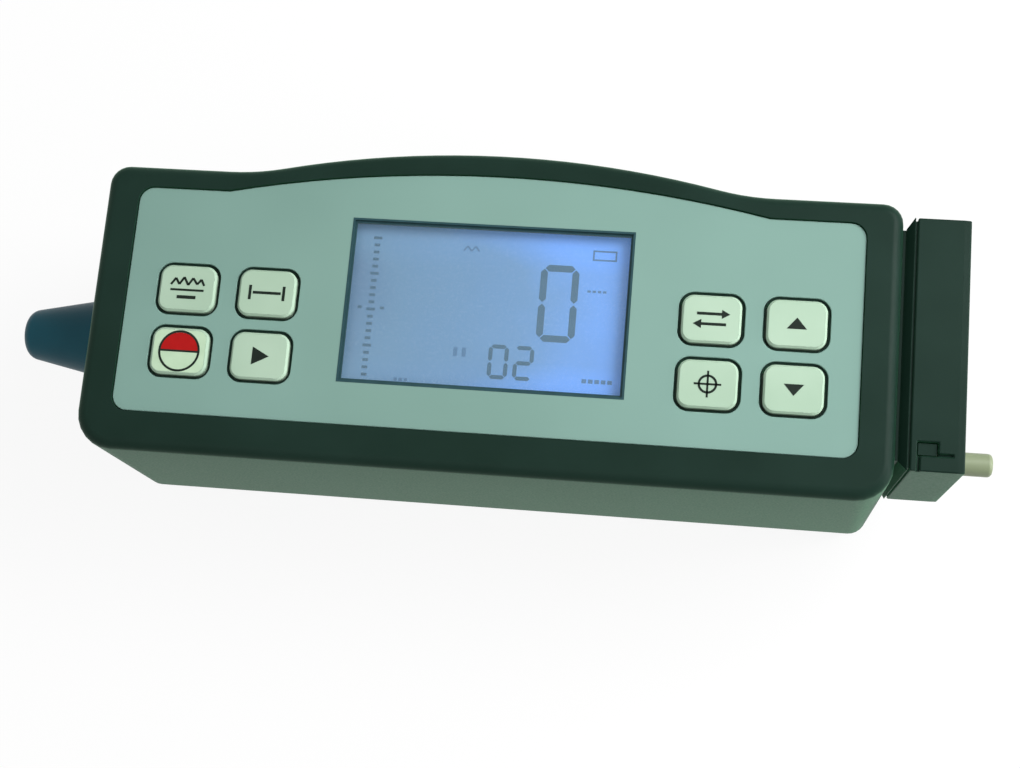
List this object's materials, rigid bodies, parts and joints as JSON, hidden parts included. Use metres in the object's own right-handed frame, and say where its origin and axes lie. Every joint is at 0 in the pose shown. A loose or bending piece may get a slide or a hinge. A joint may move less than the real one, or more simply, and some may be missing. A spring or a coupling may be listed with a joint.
{
  "type": "surface roughness tester",
  "caption": "Hand-held surface roughness tester: arched display panel with keys, a tapered end knob and a guarded pickup that slides out of one end.",
  "frame": {"origin": "centre of the case's outline on its flat back face", "axes": "+X along the case towards the pickup, +Y up the front panel, +Z out of the front panel"},
  "size_m": [0.1779, 0.0568, 0.0481],
  "materials": {
    "case_plastic": "fine-grained dark green-grey moulding",
    "panel_film": "satin grey-green printed film",
    "key_plastic": "pale cream-green satin",
    "window_clear": "clear polished",
    "display_glass": "backlit blue",
    "light_guide": "white diffuser",
    "inner_plastic": "dark engineering plastic",
    "board_laminate": "green solder mask",
    "chip_plastic": "black moulded",
    "steel": "bright",
    "brass": "turned",
    "cell_jacket": "printed-free wrap",
    "nose_plastic": "ivory satin",
    "knob_plastic": "dark blue-green satin"
  },
  "bodies": {
    "case": {"front_cover": "case_plastic", "rear_case": "case_plastic", "guard_base": "case_plastic", "guard_cover": "case_plastic", "panel_overlay": "panel_film", "lcd_window": "window_clear", "lcd_glass": "display_glass", "lcd_backlight": "light_guide", "lcd_frame": "inner_plastic", "lcd_connectors": "inner_plastic", "pickup_wiper": "inner_plastic", "main_board": "board_laminate", "board_chips": "chip_plastic", "home_switch": "chip_plastic", "board_screws": "steel", "switch_domes": "steel", "case_screws": "steel", "battery_contacts": "steel", "drive_chassis": "steel", "chassis_screws": "steel", "drive_motor": "steel", "motor_screws": "steel", "guide_rods": "steel", "guard_screws": "steel", "motor_gearbox": "brass", "screw_bush": "brass", "knob_bush": "brass", "battery_cell_1": "cell_jacket", "battery_cell_2": "cell_jacket", "battery_cell_3": "cell_jacket", "battery_cell_4": "cell_jacket"},
    "pickup": {"carriage": "inner_plastic", "lead_nut": "brass", "pickup_holder": "brass", "pickup_body": "steel", "pickup_tube": "nose_plastic", "pickup_skid": "steel", "stylus_lever": "steel", "stylus": "steel"},
    "screw": {"lead_screw": "steel", "output_shaft": "steel", "shaft_coupling": "brass"},
    "knob": {"end_knob": "knob_plastic", "knob_spindle": "steel", "spindle_clip": "steel"},
    "door": {"battery_door": "case_plastic"},
    "key_parameter": {"key_parameter": "key_plastic"},
    "key_cutoff": {"key_cutoff": "key_plastic"},
    "key_power": {"key_power": "key_plastic"},
    "key_start": {"key_start": "key_plastic"},
    "key_unit": {"key_unit": "key_plastic"},
    "key_up": {"key_up": "key_plastic"},
    "key_calibrate": {"key_calibrate": "key_plastic"},
    "key_down": {"key_down": "key_plastic"}
  },
  "joints": [
    {"name": "pickup_traverse", "type": "slide", "parent": "case", "child": "pickup", "axis": [1, 0, 0], "range_m": [0, 0.0175]},
    {"name": "screw_turn", "type": "hinge", "parent": "case", "child": "screw", "pos_m": [0, -0.006, 0.025], "axis": [1, 0, 0], "range_deg": [0, 3150]},
    {"name": "knob_turn", "type": "hinge", "parent": "case", "child": "knob", "pos_m": [-0.07, -0.0043, 0.026], "axis": [1, 0, 0], "continuous": true},
    {"name": "door_lift", "type": "slide", "parent": "case", "child": "door", "axis": [0, 0, -1], "range_m": [0, 0.02]},
    {"name": "press_parameter", "type": "slide", "parent": "case", "child": "key_parameter", "axis": [0, 0, -1], "range_m": [0, 0.0006], "stiffness_N_per_m": 800},
    {"name": "press_cutoff", "type": "slide", "parent": "case", "child": "key_cutoff", "axis": [0, 0, -1], "range_m": [0, 0.0006], "stiffness_N_per_m": 800},
    {"name": "press_power", "type": "slide", "parent": "case", "child": "key_power", "axis": [0, 0, -1], "range_m": [0, 0.0006], "stiffness_N_per_m": 800},
    {"name": "press_start", "type": "slide", "parent": "case", "child": "key_start", "axis": [0, 0, -1], "range_m": [0, 0.0006], "stiffness_N_per_m": 800},
    {"name": "press_unit", "type": "slide", "parent": "case", "child": "key_unit", "axis": [0, 0, -1], "range_m": [0, 0.0006], "stiffness_N_per_m": 800},
    {"name": "press_up", "type": "slide", "parent": "case", "child": "key_up", "axis": [0, 0, -1], "range_m": [0, 0.0006], "stiffness_N_per_m": 800},
    {"name": "press_calibrate", "type": "slide", "parent": "case", "child": "key_calibrate", "axis": [0, 0, -1], "range_m": [0, 0.0006], "stiffness_N_per_m": 800},
    {"name": "press_down", "type": "slide", "parent": "case", "child": "key_down", "axis": [0, 0, -1], "range_m": [0, 0.0006], "stiffness_N_per_m": 800}
  ],
  "couplings": [
    {"joint": "screw_turn", "follows": "pickup_traverse", "rad_per_m": 3141.6}
  ]
}
